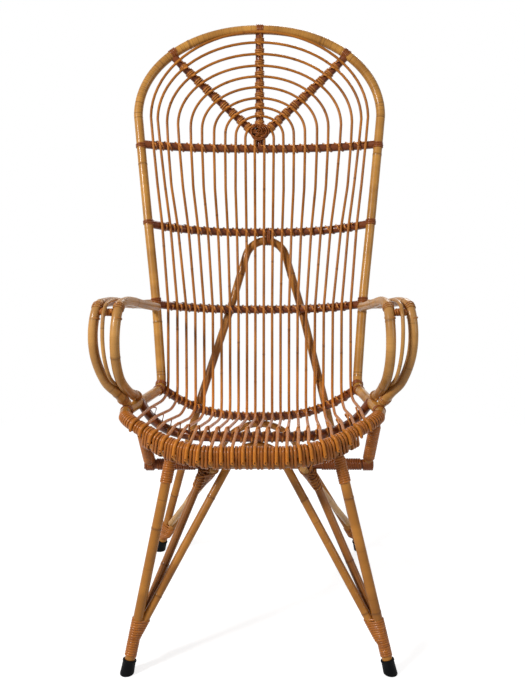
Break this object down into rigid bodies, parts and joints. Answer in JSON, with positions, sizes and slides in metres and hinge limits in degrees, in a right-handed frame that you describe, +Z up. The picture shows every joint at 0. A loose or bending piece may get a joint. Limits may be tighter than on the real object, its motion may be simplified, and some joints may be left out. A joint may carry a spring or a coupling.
{
  "type": "rattan armchair",
  "caption": "Tall arched rattan armchair: a bent pole hoop joins back and seat, nested thin rods fill both, open pole arms stand at the sides, cane-bound legs end in rubber caps",
  "frame": {"origin": "on the floor, below the middle of the chair's bounding box", "axes": "+Z is up, the sitter looks along -Y, and +X is the right side of the chair as seen from the front"},
  "size_m": [0.6124, 0.7052, 1.2644],
  "materials": {
    "hoop_pole": "honey coloured rattan pole, satin varnish",
    "arm_pole": "light tan rattan pole with dark flecks, satin varnish",
    "rod": "mid brown thin rattan rod, satin varnish",
    "rail_pole": "reddish brown rattan pole, satin varnish",
    "leg_pole": "golden brown rattan pole, satin varnish",
    "stay_pole": "darker brown rattan pole, satin varnish",
    "pale_pole": "pale rattan pole, sawn ends, satin varnish",
    "cane": "orange brown split cane binding, glossy varnish",
    "rubber_cap": "black rubber, matte"
  },
  "bodies": {
    "root": {"rod_01": "rod", "rod_02": "rod", "rod_03": "rod", "rod_04": "rod", "rod_05": "rod", "rod_06": "rod", "rod_07": "rod", "rod_08": "rod", "rod_09": "rod", "rod_10": "rod", "rod_11": "rod", "back_hoop": "hoop_pole", "seat_front_rim": "hoop_pole", "front_under_rim": "leg_pole", "back_brace": "leg_pole", "rear_brace": "leg_pole", "front_leg_left": "leg_pole", "front_leg_right": "leg_pole", "side_post_left": "leg_pole", "side_post_right": "leg_pole", "lower_rail": "rail_pole", "middle_rail": "rail_pole", "upper_rail": "rail_pole", "seat_rear_rail": "rail_pole", "seat_mid_rail": "rail_pole", "spoke_center": "rail_pole", "spoke_right": "rail_pole", "spoke_left": "rail_pole", "cross_rail": "rail_pole", "front_brace": "stay_pole", "front_stay_left": "stay_pole", "front_stay_right": "stay_pole", "rear_stay_left": "pale_pole", "rear_stay_right": "pale_pole", "arm_inner_left": "arm_pole", "arm_outer_left": "arm_pole", "arm_rod_left": "arm_pole", "arm_inner_right": "arm_pole", "arm_outer_right": "arm_pole", "arm_rod_right": "arm_pole", "rim_winding": "cane", "back_brace_tie": "cane", "rear_brace_tie": "cane", "front_foot_wrap_left": "cane", "rear_foot_wrap_left": "cane", "leg_top_wrap_left": "cane", "side_post_wrap_left": "cane", "cross_rail_wrap_left": "cane", "front_foot_wrap_right": "cane", "rear_foot_wrap_right": "cane", "leg_top_wrap_right": "cane", "side_post_wrap_right": "cane", "cross_rail_wrap_right": "cane", "arm_spacer_left": "cane", "arm_spacer_right": "cane", "front_cap_left": "rubber_cap", "front_cap_right": "rubber_cap", "rear_cap_left": "rubber_cap", "rear_cap_right": "rubber_cap"}
  },
  "joints": []
}
